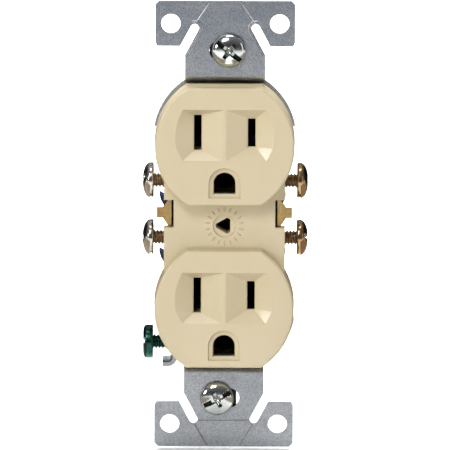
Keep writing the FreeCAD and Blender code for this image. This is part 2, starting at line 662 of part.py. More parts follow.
def make_bus(label, side):
    """One bus bar: two terminal plates, two blade contacts and the break-off tab between them."""
    pieces = []
    plate = sided(side, "bus_across", "bus_across + sheet_thick")
    strip = ("bus_back - sheet_thick", "bus_back")
    for name, sign, face in (("upper", 1, "face_up"), ("lower", -1, "-face_up")):
        span = ("bus_mid + bus_gap", "bus_mid + bus_reach")
        if sign < 0:
            span = ("bus_mid - bus_reach", "bus_mid - bus_gap")
        pieces.append(box("%s_%s_plate" % (label, name), plate, ("bay_front + 0.1", "bus_back"),
                          span))
        contact = "%s + blade_up" % face
        ends = (span[0], contact + " + contact_half_high")
        if sign < 0:
            ends = (contact + " - contact_half_high", span[1])
        strip_outer = sided(side, "strip_inner", "room_outer - 0.15")
        pieces.append(box("%s_%s_strip" % (label, name), strip_outer, strip, ends))
        pieces.append(box("%s_%s_link" % (label, name),
                          sided(side, "strip_inner", "bus_across + sheet_thick"), strip, span))
        pieces.append(box("%s_%s_branch" % (label, name),
                          sided(side, "branch_inner", "strip_inner + 0.5"), strip,
                          (contact + " - contact_half_high", contact + " + contact_half_high")))
        pieces.append(leaf("%s_%s" % (label, name), side, "inner", -1, contact))
        pieces.append(leaf("%s_%s" % (label, name), side, "outer", 1, contact))
        screw = "bus_mid + %d * terminal_apart" % sign
        pieces.append(box("%s_%s_land" % (label, name),
                          sided(side, "land_across", "land_across + sheet_thick"),
                          ("bus_back - sheet_thick", "land_back"),
                          (screw + " - land_half_high", screw + " + land_half_high")))
        leg = ("bus_mid + bus_gap", "bus_mid + tab_wide_half")
        if sign < 0:
            leg = ("bus_mid - tab_wide_half", "bus_mid - bus_gap")
        pieces.append(box("%s_%s_leg" % (label, name), plate, ("tab_front", "bay_front + 0.3"),
                          leg))
    half = [("bus_across", "tab_wide_half"), ("bus_across + sheet_thick", "tab_wide_half"),
            ("bus_across + sheet_thick + tab_slant", "tab_half_high"), ("tab_reach", "tab_half_high")]
    low = [(across, "bus_mid - " + up) for across, up in half]
    high = [(across, "bus_mid + " + up) for across, up in reversed(half)]
    corners = low + high
    corners = corners if side > 0 else mirrored(corners)
    pieces.append(prism(label + "_tab", "XZ", "tab_front", "tab_front + sheet_thick", corners))
    blank = fuse(label + "_blank", pieces)
    holes = [rod("%s_%s_tapping" % (label, name), "X", "thread_rad + thread_gap",
                 *sided(side, "bus_across - 1", "bus_across + 2"), ("terminal_back", height))
             for name, height in TERMINALS]
    subpart(cut(label, blank, holes), label)


def make_pin_contact(label, height):
    """A spring clip for the ground pin: a riveted plate with two bowed leaves."""
    centre = "%s - pin_drop" % height
    back = "joggle_depth - strap_thick - 0.02"
    front = back + " - pin_plate_thick"
    plate = box(label + "_plate", ("-pin_plate_half", "pin_plate_half"), (front, back),
                (centre + " - pin_plate_low", centre + " + pin_plate_high"))
    near = [("pin_plate_half - leaf_thick", front + " + 0.1"),
            ("pin_leaf_pinch", "leaf_pinch_front - 1"), ("pin_leaf_mouth", "leaf_front")]
    leaves = []
    for hand, side, _ in HANDS:
        inner = [(signed(side, across), back_to) for across, back_to in near]
        outer = [(signed(side, "%s + leaf_thick" % across), back_to)
                 for across, back_to in reversed(near)]
        leaves.append(prism("%s_%s_leaf" % (label, hand), "XY", centre + " - pin_leaf_half_high",
                            centre + " + pin_leaf_half_high", inner + outer))
    blank = fuse(label + "_blank", [plate] + leaves)
    tools = [rod(label + "_eye", "Y", "eye_hole_rad - 0.25", front + " - 0.1", back + " + 0.1",
                 ("0", centre)),
             rod(label + "_rivet_hole", "Y", "rivet_rad + join_gap", front + " - 0.1",
                 back + " + 0.1", ("0", centre + " + rivet_up"))]
    subpart(cut(label, blank, tools), label)


def make_rivets():
    """The two rivets that hold the ground contacts to the strap, one solid each."""
    rivets = []
    for name, height in FACES:
        spot = ("0", "%s - pin_drop + rivet_up" % height)
        face = "joggle_depth - strap_thick - pin_plate_thick - 0.02"
        shank = rod(name + "_rivet_shank", "Y", "rivet_rad", face + " - 0.1",
                    "joggle_depth + 0.1", spot)
        front = rod(name + "_rivet_front", "Y", "rivet_head_rad", face + " - rivet_head_high",
                    face, spot)
        back = rod(name + "_rivet_back", "Y", "rivet_head_rad", "joggle_depth",
                   "joggle_depth + rivet_head_high", spot)
        rivets.append(fuse(name + "_rivet", [shank, front, back]))
    group = doc.addObject("Part::Compound", "rivets")
    group.Links = rivets
    subpart(group, "ground_contact_rivets")


def make_clip(label, side, height):
    """A bent spring that grips a pushed-in wire against the bus bar."""
    root = "chamber_inner + clip_gap"
    tip = "land_across - clip_grip"
    corners = [(root, "room_back + clip_start"),
               (root + " + leaf_thick", "room_back + clip_start"),
               (root + " + leaf_thick", "chamber_back - clip_bend"),
               (tip + " - 0.4", "room_back + clip_tip"),
               (tip, "room_back + clip_tip + 0.4"),
               (root + " + 0.6 + leaf_thick", "chamber_back - 0.5"),
               (root, "chamber_back - 0.5")]
    corners = [(signed(side, across), back) for across, back in corners]
    subpart(prism(label, "XY", "%s - land_half_high" % height, "%s + land_half_high" % height,
                  corners), label)


# ---------------------------------------------------------------- screws
def origin_plane(body, role):
    return [item for item in body.Origin.OriginFeatures if item.Role == role][0]


def attach(body, name, role, offset):
    """A sketch on one of the body's own origin planes, raised by an expression."""
    sketch = body.newObject("Sketcher::SketchObject", name)
    sketch.AttachmentSupport = [(origin_plane(body, role), "")]
    sketch.MapMode = "FlatFace"
    bind(sketch, "AttachmentOffset.Base.z", offset)
    return sketch


def make_screw(label, spot, axis_turn, sizes, recess_turn, cross):
    """A pan-head screw along its own +Z: tip below, head above the seat at z = 0."""
    head_rad, head_high, long, neck = sizes
    body = doc.addObject("PartDesign::Body", label)
    profile = attach(body, label + "_profile", "XZ_Plane", "0")
    under = [("thread_rad", "0")]
    if neck:
        under = [("thread_rad", "-" + neck), ("neck_rad", "-" + neck), ("neck_rad", "0")]
    draw(profile, [("0", "-" + long), ("tip_rad", "-" + long),
                   ("thread_rad", "tip_chamfer - " + long)] + under
         + [(head_rad, "0"), (head_rad, head_high + " * head_edge", head_rad + " * head_crown"),
            ("0", head_high)])
    turned = body.newObject("PartDesign::Revolution", label + "_turned")
    turned.Profile = profile
    turned.ReferenceAxis = (profile, ["V_Axis"])
    turned.Angle = 360
    doc.recompute()
    solid_before = turned.Shape.Volume
    arms = [("drive_wide / 2", head_rad + " * drive_slot")]
    if cross:
        arms = [("drive_wide / 2", head_rad + " * drive_cross"),
                (head_rad + " * drive_short", "drive_wide / 2")]
    for index, (half_wide, half_long) in enumerate(arms):
        recess = attach(body, "%s_recess_%d" % (label, index), "XY_Plane", head_high)
        draw(recess, rectangle("-(%s)" % half_wide, half_wide, "-(%s)" % half_long, half_long))
        pocket = body.newObject("PartDesign::Pocket", "%s_pocket_%d" % (label, index))
        pocket.Profile = recess
        bind(pocket, "Length", "drive_deep")
        doc.recompute()
        if pocket.Shape.Volume > solid_before - 0.05:
            raise RuntimeError("the drive recess of %s cuts nothing" % label)
        solid_before = pocket.Shape.Volume
    body.Placement.Rotation = axis_turn.multiply(Rotation(Vector(0, 0, 1), recess_turn))
    place(body, spot)
    subpart(body, label)


OUT_LEFT = Rotation(Vector(0, 1, 0), -90)
OUT_RIGHT = Rotation(Vector(0, 1, 0), 90)
OUT_FRONT = Rotation(Vector(1, 0, 0), 90)


def make_screws():
    terminal = ("terminal_head_rad", "terminal_head_high", "terminal_long", None)
    for index, (name, height) in enumerate(TERMINALS):
        make_screw("neutral_screw_" + name, ("-silver_seat", "terminal_back", height),
                   OUT_LEFT, terminal, 25 + 70 * index, False)
        make_screw("hot_screw_" + name, ("brass_seat", "terminal_back", height),
                   OUT_RIGHT, terminal, 60 - 85 * index, False)
    make_screw("ground_screw", ("-green_seat", "ground_screw_back", "ground_screw_up"), OUT_LEFT,
               ("green_head_rad", "green_head_high", "green_long", None), 15, False)
    mount = ("mount_head_rad", "mount_head_high", "mount_long", "mount_neck")
    for name, sign, turn in (("upper", "", 52), ("lower", "-", -62)):
        across = name + "_mount_across"
        make_screw(name + "_mounting_screw",
                   (across, "-strap_thick - face_gap", "%soval_up" % sign), OUT_FRONT, mount,
                   turn, True)
        blank = box(name + "_retainer_blank",
                    ("%s - retainer_half_wide" % across, "%s + retainer_half_wide" % across),
                    ("face_gap", "face_gap + retainer_thick"),
                    ("%soval_up - retainer_half_high" % sign,
                     "%soval_up + retainer_half_high" % sign))
        hole = rod(name + "_retainer_hole", "Y", "thread_rad + thread_gap", "-0.1",
                   "retainer_thick + 0.3", (across, "%soval_up" % sign))
        subpart(cut(name + "_retainer", blank, [hole]), name + "_screw_retainer")


def make_joining_screws():
    """The three screws that clamp body, strap and cover together, one solid each."""
    screws = []
    for index, spot in enumerate(JOINS):
        shank = rod("join_shank_%d" % index, "Y", "join_rad", "join_tip", "lug_back + 0.2", spot)
        head = rod("join_head_%d" % index, "Y", "join_head_rad", "lug_back + 0.02",
                   "lug_back + join_head_high", spot)
        joined = fuse("join_%d" % index, [shank, head])
        slot = box("join_slot_%d" % index, ("%s - join_head_rad" % spot[0],
                                            "%s + join_head_rad" % spot[0]),
                   ("lug_back + join_head_high - 0.6", "lug_back + join_head_high + 0.1"),
                   ("%s - 0.3" % spot[1], "%s + 0.3" % spot[1]))
        screws.append(cut("join_screw_%d" % index, joined, [slot]))
    group = doc.addObject("Part::Compound", "joining")
    group.Links = screws
    subpart(group, "assembly_screws")


# ---------------------------------------------------------------- build, check and write
make_cover()
make_strap()
make_body()
make_bus("neutral_bus_bar", -1)
make_bus("hot_bus_bar", 1)
for face_name, face_height in FACES:
    make_pin_contact(face_name + "_ground_contact", face_height)
make_rivets()
for terminal_name, terminal_height in TERMINALS:
    make_clip("neutral_wire_clip_" + terminal_name, -1, terminal_height)
    make_clip("hot_wire_clip_" + terminal_name, 1, terminal_height)
make_screws()
make_joining_screws()
doc.recompute()

for thing in doc.Objects:
    if "Invalid" in thing.State or "Error" in thing.State:
        raise RuntimeError("%s could not be built: %s" % (thing.Name, thing.State))
for thing in SUBPARTS:
    if thing.Shape.isNull() or not thing.Shape.isValid():
        raise RuntimeError("%s has no valid shape" % thing.Label)

os.makedirs("parts", exist_ok=True)
for thing in SUBPARTS:
    thing.Shape.exportStep(os.path.join("parts", thing.Label + ".step"))
    bounds = thing.Shape.BoundBox
    print("%-24s solids %d  volume %8.1f  x %6.1f %6.1f  y %6.1f %6.1f  z %6.1f %6.1f"
          % (thing.Label, len(thing.Shape.Solids), thing.Shape.Volume, bounds.XMin, bounds.XMax,
             bounds.YMin, bounds.YMax, bounds.ZMin, bounds.ZMax))
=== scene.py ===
import math

import bmesh
import bpy
from mathutils import Matrix, Vector


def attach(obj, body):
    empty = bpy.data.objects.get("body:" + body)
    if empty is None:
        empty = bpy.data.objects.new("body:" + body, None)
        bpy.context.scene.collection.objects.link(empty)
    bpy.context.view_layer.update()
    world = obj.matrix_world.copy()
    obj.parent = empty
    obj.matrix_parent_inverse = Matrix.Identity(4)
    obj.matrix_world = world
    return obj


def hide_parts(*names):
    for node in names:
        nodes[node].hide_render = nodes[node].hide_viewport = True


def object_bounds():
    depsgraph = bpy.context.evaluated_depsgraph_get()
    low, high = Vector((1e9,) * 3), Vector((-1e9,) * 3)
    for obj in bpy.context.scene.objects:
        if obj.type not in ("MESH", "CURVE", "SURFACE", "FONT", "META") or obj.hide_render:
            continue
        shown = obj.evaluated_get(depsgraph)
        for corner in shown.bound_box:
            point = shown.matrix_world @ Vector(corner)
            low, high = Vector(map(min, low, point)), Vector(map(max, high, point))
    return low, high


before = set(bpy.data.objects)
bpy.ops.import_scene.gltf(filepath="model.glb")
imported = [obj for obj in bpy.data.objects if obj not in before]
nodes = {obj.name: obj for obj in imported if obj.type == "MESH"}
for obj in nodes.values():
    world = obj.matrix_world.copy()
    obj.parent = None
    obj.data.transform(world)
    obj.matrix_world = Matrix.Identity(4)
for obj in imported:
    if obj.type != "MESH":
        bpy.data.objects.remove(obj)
cad_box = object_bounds()
MM = 0.001
TOP_SHADE_SPAN = (0.032, 0.046)  # heights over which painted shade darkens a metal towards its top


# ---------------------------------------------------------------- materials
def shader(name):
    """A new material, its node tree and its shader."""
    material = bpy.data.materials.new(name)
    material.use_nodes = True
    tree = material.node_tree
    principled = tree.nodes["Principled BSDF"]
    return material, tree, principled


def add(tree, kind, **settings):
    """Add a node; a setting that names an input fills it, any other is set on the node."""
    node = tree.nodes.new(kind)
    for key, setting in settings.items():
        if key in node.inputs:
            node.inputs[key].default_value = setting
        else:
            setattr(node, key, setting)
    return node


def noise(tree, scale, detail=3.0, rough=0.55, stretch=None):
    """Noise in the object's own metres; scale is in features per metre."""
    where = add(tree, "ShaderNodeTexCoord").outputs["Object"]
    if stretch:
        mapping = add(tree, "ShaderNodeMapping")
        mapping.inputs["Scale"].default_value = stretch
        tree.links.new(where, mapping.inputs["Vector"])
        where = mapping.outputs["Vector"]
    node = add(tree, "ShaderNodeTexNoise", Scale=scale, Detail=detail, Roughness=rough)
    tree.links.new(where, node.inputs["Vector"])
    return node.outputs["Fac"]


def ramp(tree, source, stops):
    """Colours a value by stops of (place from 0 to 1, colour)."""
    node = add(tree, "ShaderNodeValToRGB")
    elements = node.color_ramp.elements
    while len(elements) < len(stops):
        elements.new(0.5)
    for element, (spot, tone) in zip(elements, stops):
        element.position = spot
        element.color = (*tone, 1.0)
    tree.links.new(source, node.inputs["Fac"])
    return node.outputs["Color"]


def blend_tone(tree, factor, first, second, mode="MIX"):
    node = add(tree, "ShaderNodeMix", data_type="RGBA", blend_type=mode)
    if isinstance(factor, float):
        node.inputs["Factor"].default_value = factor
    else:
        tree.links.new(factor, node.inputs["Factor"])
    for socket, source in ((node.inputs[6], first), (node.inputs[7], second)):
        if isinstance(source, tuple):
            socket.default_value = (*source, 1.0)
        else:
            tree.links.new(source, socket)
    return node.outputs[2]


def spread(tree, source, low, high, start=0.3, end=0.7):
    """Maps start to end on to low to high, and holds still beyond them."""
    node = add(tree, "ShaderNodeMapRange")
    node.inputs["From Min"].default_value = start
    node.inputs["From Max"].default_value = end
    node.inputs["To Min"].default_value = low
    node.inputs["To Max"].default_value = high
    tree.links.new(source, node.inputs["Value"])
    return node.outputs["Result"]


def bumps(tree, principled, layers, edge=0.0):
    """Stack bump layers, each (height source, depth in metres), over softly rounded edges."""
    last = None
    if edge:
        last = add(tree, "ShaderNodeBevel", samples=6, Radius=edge).outputs["Normal"]
    for source, depth in layers:
        node = add(tree, "ShaderNodeBump", Strength=1.0, Distance=depth)
        tree.links.new(source, node.inputs["Height"])
        if last:
            tree.links.new(last, node.inputs["Normal"])
        last = node.outputs["Normal"]
    tree.links.new(last, principled.inputs["Normal"])


def place(tree, axis):
    """Where a point is along one axis of its own object, in metres."""
    split = add(tree, "ShaderNodeSeparateXYZ")
    tree.links.new(add(tree, "ShaderNodeTexCoord").outputs["Object"], split.inputs["Vector"])
    return split.outputs[axis]


def crevice(tree, reach):
    """Goes from 0 in tight corners to 1 in the open."""
    node = add(tree, "ShaderNodeAmbientOcclusion", samples=16, Distance=reach)
    return node.outputs["AO"]


def moulded(name, tones, rough, grain=1.0, scatter=0.0, corner_shade_tone=(0.72, 0.62, 0.48)):
    """Moulded plastic: faint flow marks, an orange-peel skin and painted shade in the corners."""
    material, tree, principled = shader(name)
    flow = noise(tree, 120, 4, stretch=(1.0, 1.0, 0.45))
    colour = ramp(tree, flow, [(0.30, tones[0]), (0.52, tones[1]), (0.72, tones[2])])
    fleck = ramp(tree, noise(tree, 2600, 2), [(0.30, (0.95, 0.95, 0.94)), (0.55, (1, 1, 1))])
    colour = blend_tone(tree, 0.5, colour, fleck, "MULTIPLY")
    # painted shade: the colour darkens in tight corners, driven by ambient occlusion
    corner = ramp(tree, crevice(tree, 0.0011), [(0.25, corner_shade_tone), (0.85, (1, 1, 1))])
    colour = blend_tone(tree, 0.5, colour, corner, "MULTIPLY")
    tree.links.new(colour, principled.inputs["Base Color"])
    tree.links.new(spread(tree, noise(tree, 500, 1), rough - 0.012, rough + 0.016),
                   principled.inputs["Roughness"])
    principled.inputs["Specular IOR Level"].default_value = 0.5
    principled.inputs["Subsurface Weight"].default_value = scatter
    principled.inputs["Subsurface Scale"].default_value = 0.0006
    bumps(tree, principled, [(noise(tree, 420, 2), 7e-6 * grain),
                             (noise(tree, 3800, 3), 1.6e-6 * grain)], edge=0.00028)
    return material


def plated(name, tones, rough, speckle=0.3, scale=2600, depth=4e-6, corner_shade_dark=(0.35, 0.33, 0.3),
           stretch=None, reach=0.0008, shade_within=None, edge=0.0, top_shade=None):
    """Plated or rolled metal: cloudy tone, fine speckle and painted shade in the corners.

    Within a given distance of the middle of the object it gets painted shade, darker and rougher;
    the top shade option paints shade on it up high.
    """
    material, tree, principled = shader(name)
    principled.inputs["Metallic"].default_value = 1.0
    cloud = noise(tree, 260, 5, 0.6, stretch)
    colour = ramp(tree, cloud, [(0.30, tones[0]), (0.50, tones[1]), (0.70, tones[2])])
    grain = noise(tree, scale, 4, 0.65)
    fleck = ramp(tree, grain, [(0.34, (1 - speckle,) * 3), (0.50, (1, 1, 1)),
                               (0.68, (1 + speckle,) * 3)])
    colour = blend_tone(tree, 1.0, colour, fleck, "MULTIPLY")
    # painted shade: the colour darkens in tight corners, driven by ambient occlusion
    corner = ramp(tree, crevice(tree, reach), [(0.1, corner_shade_dark), (0.8, (1, 1, 1))])
    colour = blend_tone(tree, 0.85, colour, corner, "MULTIPLY")
    shine = spread(tree, noise(tree, scale * 0.5, 4), rough * 0.8, rough * 1.3)
    # painted shade: parts nearer the middle than the given distance, inside the slots, are darkened
    # and roughened
    if shade_within:
        across = add(tree, "ShaderNodeMath", operation="ABSOLUTE")
        tree.links.new(place(tree, "X"), across.inputs[0])
        slot_shade = spread(tree, across.outputs["Value"], 1.0, 0.0, shade_within - 0.0002, shade_within)
        shaded_tone = blend_tone(tree, 1.0, colour, (0.09, 0.075, 0.07), "MULTIPLY")
        colour = blend_tone(tree, slot_shade, colour, shaded_tone)
        rough_in_shade = add(tree, "ShaderNodeMath", operation="MAXIMUM")
        tree.links.new(shine, rough_in_shade.inputs[0])
        tree.links.new(spread(tree, slot_shade, 0.0, 0.75, 0.0, 1.0), rough_in_shade.inputs[1])
        shine = rough_in_shade.outputs["Value"]
    # painted shade: the colour darkens towards the top of the object
    if top_shade:
        level = spread(tree, place(tree, "Z"), 0.0, 1.0, *TOP_SHADE_SPAN)
        shade = ramp(tree, level, [(0.0, (1, 1, 1)), (1.0, top_shade)])
        colour = blend_tone(tree, 1.0, colour, shade, "MULTIPLY")
    tree.links.new(colour, principled.inputs["Base Color"])
    tree.links.new(shine, principled.inputs["Roughness"])
    bumps(tree, principled, [(grain, depth), (noise(tree, 300, 3), depth * 3)], edge)
    return material


IVORY = moulded("ivory_urea", ((0.700, 0.602, 0.398), (0.710, 0.612, 0.407), (0.720, 0.622, 0.416)),
                0.22, scatter=0.03)
BLUE = moulded("blue_moulding",
               ((0.011, 0.026, 0.088), (0.015, 0.034, 0.11), (0.021, 0.045, 0.135)),
               0.42, grain=1.6, corner_shade_tone=(0.3, 0.3, 0.35))
# strap zinc: painted shade towards its upper end and in its corners
ZINC = plated("spangled_zinc", ((0.335, 0.352, 0.38), (0.38, 0.397, 0.425), (0.435, 0.452, 0.48)),
              0.40, speckle=0.34, scale=3300, depth=1.1e-5, stretch=(0.25, 1.0, 1.0), edge=0.00015,
              corner_shade_dark=(0.6, 0.58, 0.5),
              reach=0.0005, top_shade=(0.72, 0.74, 0.77))
# brighter zinc for the coined lines and score lines: a painted highlight, with strong painted shade
# in their corners
HIGHLIGHT_ZINC = plated("coined_zinc_painted_highlight", ((0.82, 0.84, 0.86), (0.88, 0.90, 0.92), (0.94, 0.95, 0.96)),
                0.34, speckle=0.25, scale=3300, depth=8e-6, corner_shade_dark=(0.12, 0.12, 0.13), reach=0.0005)
# bus bar brass; its middle part, inside the slots, gets painted shade
BRASS = plated("rolled_brass", ((0.30, 0.20, 0.08), (0.37, 0.25, 0.10), (0.45, 0.32, 0.14)),
               0.33, speckle=0.2, stretch=(1.0, 1.0, 0.15), shade_within=0.0122, edge=0.00012)
# ground contact brass darkened far below its own tone: painted shade behind the ground hole
PIN_BRASS = plated("contact_brass_painted_shade", ((0.05, 0.034, 0.015), (0.07, 0.048, 0.02),
                                          (0.10, 0.07, 0.03)), 0.55, speckle=0.2)
SPRING = plated("spring_steel", ((0.34, 0.34, 0.35), (0.40, 0.40, 0.41), (0.46, 0.46, 0.47)),
                0.30, speckle=0.1, stretch=(1.0, 0.2, 1.0))
NICKEL = plated("nickel_plate", ((0.52, 0.49, 0.45), (0.60, 0.57, 0.53), (0.66, 0.63, 0.60)),
                0.16, speckle=0.06, depth=2e-6)
BRONZE = plated("brass_plate", ((0.34, 0.22, 0.11), (0.42, 0.28, 0.15), (0.50, 0.35, 0.20)),
                0.17, speckle=0.08, depth=2e-6)
# thread tone: the brass screws' own bronze, and on the nickel screws a painted reflection of the
# brass; its roots get painted shade
THREAD = plated("bronze_thread_painted_reflection", ((0.24, 0.16, 0.085), (0.31, 0.21, 0.12), (0.40, 0.29, 0.18)),
                0.30, speckle=0.18, corner_shade_dark=(0.2, 0.16, 0.12), reach=0.0006)
BRIGHT = plated("bright_zinc_plate", ((0.52, 0.55, 0.53), (0.62, 0.65, 0.63), (0.70, 0.73, 0.71)),
                0.13, speckle=0.07, depth=2e-6, corner_shade_dark=(0.03, 0.035, 0.035), reach=0.0011)
# near-black copy of the plated metal for the deep parts of the drive recesses: painted shade
SHADOWED = plated("shaded_recess_metal", ((0.012, 0.013, 0.012), (0.02, 0.021, 0.02), (0.03, 0.031, 0.03)),
                  0.35, speckle=0.2, corner_shade_dark=(0.1, 0.1, 0.1))
GREEN = plated("green_chromate", ((0.012, 0.055, 0.046), (0.022, 0.08, 0.067), (0.045, 0.13, 0.11)),
               0.18, speckle=0.25, depth=4e-6)


def fibre():
    """Black vulcanised fibre: matte, with short fibres laid along the sheet."""
    material, tree, principled = shader("vulcanised_fibre")
    strands = noise(tree, 1500, 4, 0.6, stretch=(0.25, 1.0, 1.0))
    colour = ramp(tree, strands, [(0.32, (0.006, 0.006, 0.006)), (0.55, (0.014, 0.013, 0.012)),
                                  (0.75, (0.035, 0.033, 0.03))])
    tree.links.new(colour, principled.inputs["Base Color"])
    tree.links.new(spread(tree, strands, 0.55, 0.8), principled.inputs["Roughness"])
    bumps(tree, principled, [(strands, 2.5e-5)])
    return material


FIBRE = fibre()


def paint(name, material):
    nodes[name].data.materials.clear()
    nodes[name].data.materials.append(material)


paint("face_cover", IVORY)
paint("back_body", BLUE)
paint("mounting_strap", ZINC)
for name in ("neutral_bus_bar", "hot_bus_bar"):
    paint(name, BRASS)
for name in ("upper_ground_contact", "lower_ground_contact"):
    paint(name, PIN_BRASS)
paint("ground_contact_rivets", ZINC)
for side in ("neutral", "hot"):
    for level in ("upper", "lower"):
        paint("%s_wire_clip_%s" % (side, level), SPRING)
paint("upper_screw_retainer", FIBRE)
paint("lower_screw_retainer", FIBRE)
paint("assembly_screws", BRIGHT)


# ---------------------------------------------------------------- mesh helpers
def piece(name, mesh, materials, body, smooth_angle):
    """Finish a bmesh as an object that rides on a body."""
    bmesh.ops.recalc_face_normals(mesh, faces=mesh.faces)
    data = bpy.data.meshes.new(name)
    mesh.to_mesh(data)
    mesh.free()
    for material in materials:
        data.materials.append(material)
    for polygon in data.polygons:
        polygon.use_smooth = True
    thing = bpy.data.objects.new(name, data)
    bpy.context.scene.collection.objects.link(thing)
    data.set_sharp_from_angle(angle=math.radians(smooth_angle))
    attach(thing, body)
    return thing


def lerp(low, high, share):
    return low + (high - low) * share


def ease(value):
    value = min(max(value, 0.0), 1.0)
    return value * value * (3 - 2 * value)


# ---------------------------------------------------------------- screws
# sizes in mm
AROUND = 240
CROWN_RINGS = 66
PITCH = 0.794
NECK_RAD = 1.37
SEAT_RAD = 2.15
RECESS_FLOOR = 0.25
RECESS_EDGE = 0.20
SHADE_DEPTH = 0.3
SHADE_FROM = 1.5
RUN_OUT = 0.9
TIP_LONG = 0.7
TIP_CUT = 0.45


def recess_depth(across, along, head_rad, drive):
    """How far the drive recess goes below the crown at a point of the head, in mm."""
    half_wide, slot_reach, cross_reach, deep = drive
    depth = 0.0
    if slot_reach:
        inside = min(half_wide - abs(across), slot_reach * head_rad - abs(along))
        depth = max(depth, deep * ease(inside / RECESS_EDGE + 0.5))
    if cross_reach:
        reach = cross_reach * head_rad
        for first, second in ((across, along), (along, across)):
            taper = half_wide * (1.0 - 0.25 * min(abs(second) / reach, 1.0))
            inside = min(taper - abs(first), reach - abs(second))
            centre = deep * (1.25 - 0.65 * abs(second) / reach)
            depth = max(depth, centre * ease(inside / RECESS_EDGE + 0.5))
        heart_rad = half_wide * 1.75
        heart = heart_rad - math.hypot(across, along)
        cone = 1.05 + 0.45 * max(heart, 0.0) / heart_rad
        depth = max(depth, deep * cone * ease(heart / RECESS_EDGE + 0.5))
    return depth


def crown(reach, head_high, edge_high, power):
    """The height of the domed head at a share of its radius."""
    return edge_high + (head_high - edge_high) * (1 - reach ** power) ** 0.5


def make_screw(name, body, node, seat, out, sizes, drive, turn, materials, power=2.3,
               edge_share=0.30):
    """A domed-head screw with a real helical thread; out is the way its head faces."""
    head_rad, head_high, long, neck = sizes
    mesh = bmesh.new()
    rings = []
    edge_high = head_high * edge_share
    for step in range(1, CROWN_RINGS + 1):
        share = math.sin(math.pi / 2 * step / CROWN_RINGS)
        ring = []
        for index in range(AROUND):
            angle = 2 * math.pi * index / AROUND
            across = share * head_rad * math.cos(angle)
            along = share * head_rad * math.sin(angle)
            high = crown(share, head_high, edge_high, power)
            sunk = head_high - recess_depth(across, along, head_rad, drive)
            ring.append(mesh.verts.new((across, along, max(min(high, sunk), RECESS_FLOOR))))
        rings.append(ring)
    middle = mesh.verts.new((0, 0, head_high - recess_depth(0, 0, head_rad, drive)))
    below = ((head_rad, edge_high * 0.6), (head_rad - 0.03, 0.16), (head_rad - 0.16, 0.02),
             (head_rad - 0.3, 0.0), (SEAT_RAD, 0.0), (NECK_RAD, 0.0))
    for radius, high in below:
        rings.append([mesh.verts.new((radius * math.cos(2 * math.pi * index / AROUND),
                                      radius * math.sin(2 * math.pi * index / AROUND), high))
                      for index in range(AROUND)])
    for index in range(AROUND):
        follow = (index + 1) % AROUND
        mesh.faces.new((middle, rings[0][index], rings[0][follow]))
        for inner, outer in zip(rings, rings[1:]):
            mesh.faces.new((inner[index], outer[index], outer[follow], inner[follow]))
    # faces deep in the drive recess take the third material, which is painted shade
    for face in mesh.faces:
        spot = face.calc_center_median()
        sunk = recess_depth(spot.x, spot.y, head_rad, drive)
        shaded = sunk > SHADE_DEPTH and math.hypot(spot.x, spot.y) > SHADE_FROM
        face.material_index = 2 if shaded else 0
    add_thread(mesh, long, neck)
    spin = Matrix.Rotation(math.radians(turn), 4, "Z")
    aim = Vector((0, 0, 1)).rotation_difference(Vector(out)).to_matrix().to_4x4()
    shift = Matrix.Translation(Vector(seat) * MM)
    mesh.transform(shift @ aim @ spin @ Matrix.Scale(MM, 4))
    thing = piece(name, mesh, materials, body, 50)
    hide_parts(node)
    return thing


def add_thread(mesh, long, neck, radius=1.75, root=1.36, around=40, steps=8):
    """A helical thread down from z = 0, with a plain neck and a run-out at the tip."""
    start = neck - 0.1 if neck else 0.1
    shape = (0.0, 0.12, 0.62, 1.0, 1.0, 0.62, 0.12, 0.0)
    count = int(long / PITCH * steps) + steps
    rings = []
    for step in range(count + 1):
        ring = []
        for index in range(around):
            turn = index / around
            depth = (step / steps - 1 + turn) * PITCH
            depth = min(max(depth, 0.0), long)
            rise = shape[step % steps]
            rise *= ease((depth - start) / 0.5 + 0.2) if neck else 1.0
            rise *= ease((long - depth) / RUN_OUT)
            size = lerp(root, radius, rise)
            if neck and depth < start + 0.2:
                size = max(size, NECK_RAD)
            size -= TIP_CUT * (1 - ease((long - depth) / TIP_LONG))
            angle = 2 * math.pi * turn
            ring.append(mesh.verts.new((size * math.cos(angle), size * math.sin(angle), -depth)))
        rings.append(ring)
    made = []
    for step, (upper, lower) in enumerate(zip(rings, rings[1:])):
        for index in range(around):
            follow = (index + 1) % around
            if follow:
                corners = (upper[index], upper[follow], lower[follow], lower[index])
            elif step + steps + 1 < len(rings):
                corners = (upper[index], rings[step + steps][0], rings[step + steps + 1][0],
                           lower[index])
            else:
                continue
            made.append(mesh.faces.new(corners))
    for face in made:
        face.material_index = 1
    tip = root - TIP_CUT
    cap = [mesh.verts.new((tip * math.cos(2 * math.pi * index / around),
                           tip * math.sin(2 * math.pi * index / around), -long))
           for index in range(around)]
    made.append(mesh.faces.new(cap))
    made[-1].material_index = 1
    bmesh.ops.remove_doubles(mesh, verts=mesh.verts, dist=1e-4)


# drives: half width of the slot, reach of the slot, reach of the cross, depth; both reaches are
# shares of the head's radius
COMBINED = (0.52, 0.88, 0.50, 1.35)
PLAIN = (0.56, 0.92, 0.44, 1.25)

# sizes: head radius, head height, length below the head, plain neck below the head
TERMINAL = (4.2, 2.6, 6.2, 0)
GROUND = (4.0, 2.4, 6.4, 0)
MOUNTING = (4.0, 2.3, 19.0, 3.0)

# where the heads' undersides sit, as in the CAD
NEUTRAL_SEAT = -16.8
HOT_SEAT = 17.2
TERMINAL_BACK = 5.0
GROUND_SEAT = (-16.85, 7.4, -29.65)
MOUNT_SEAT = -1.04

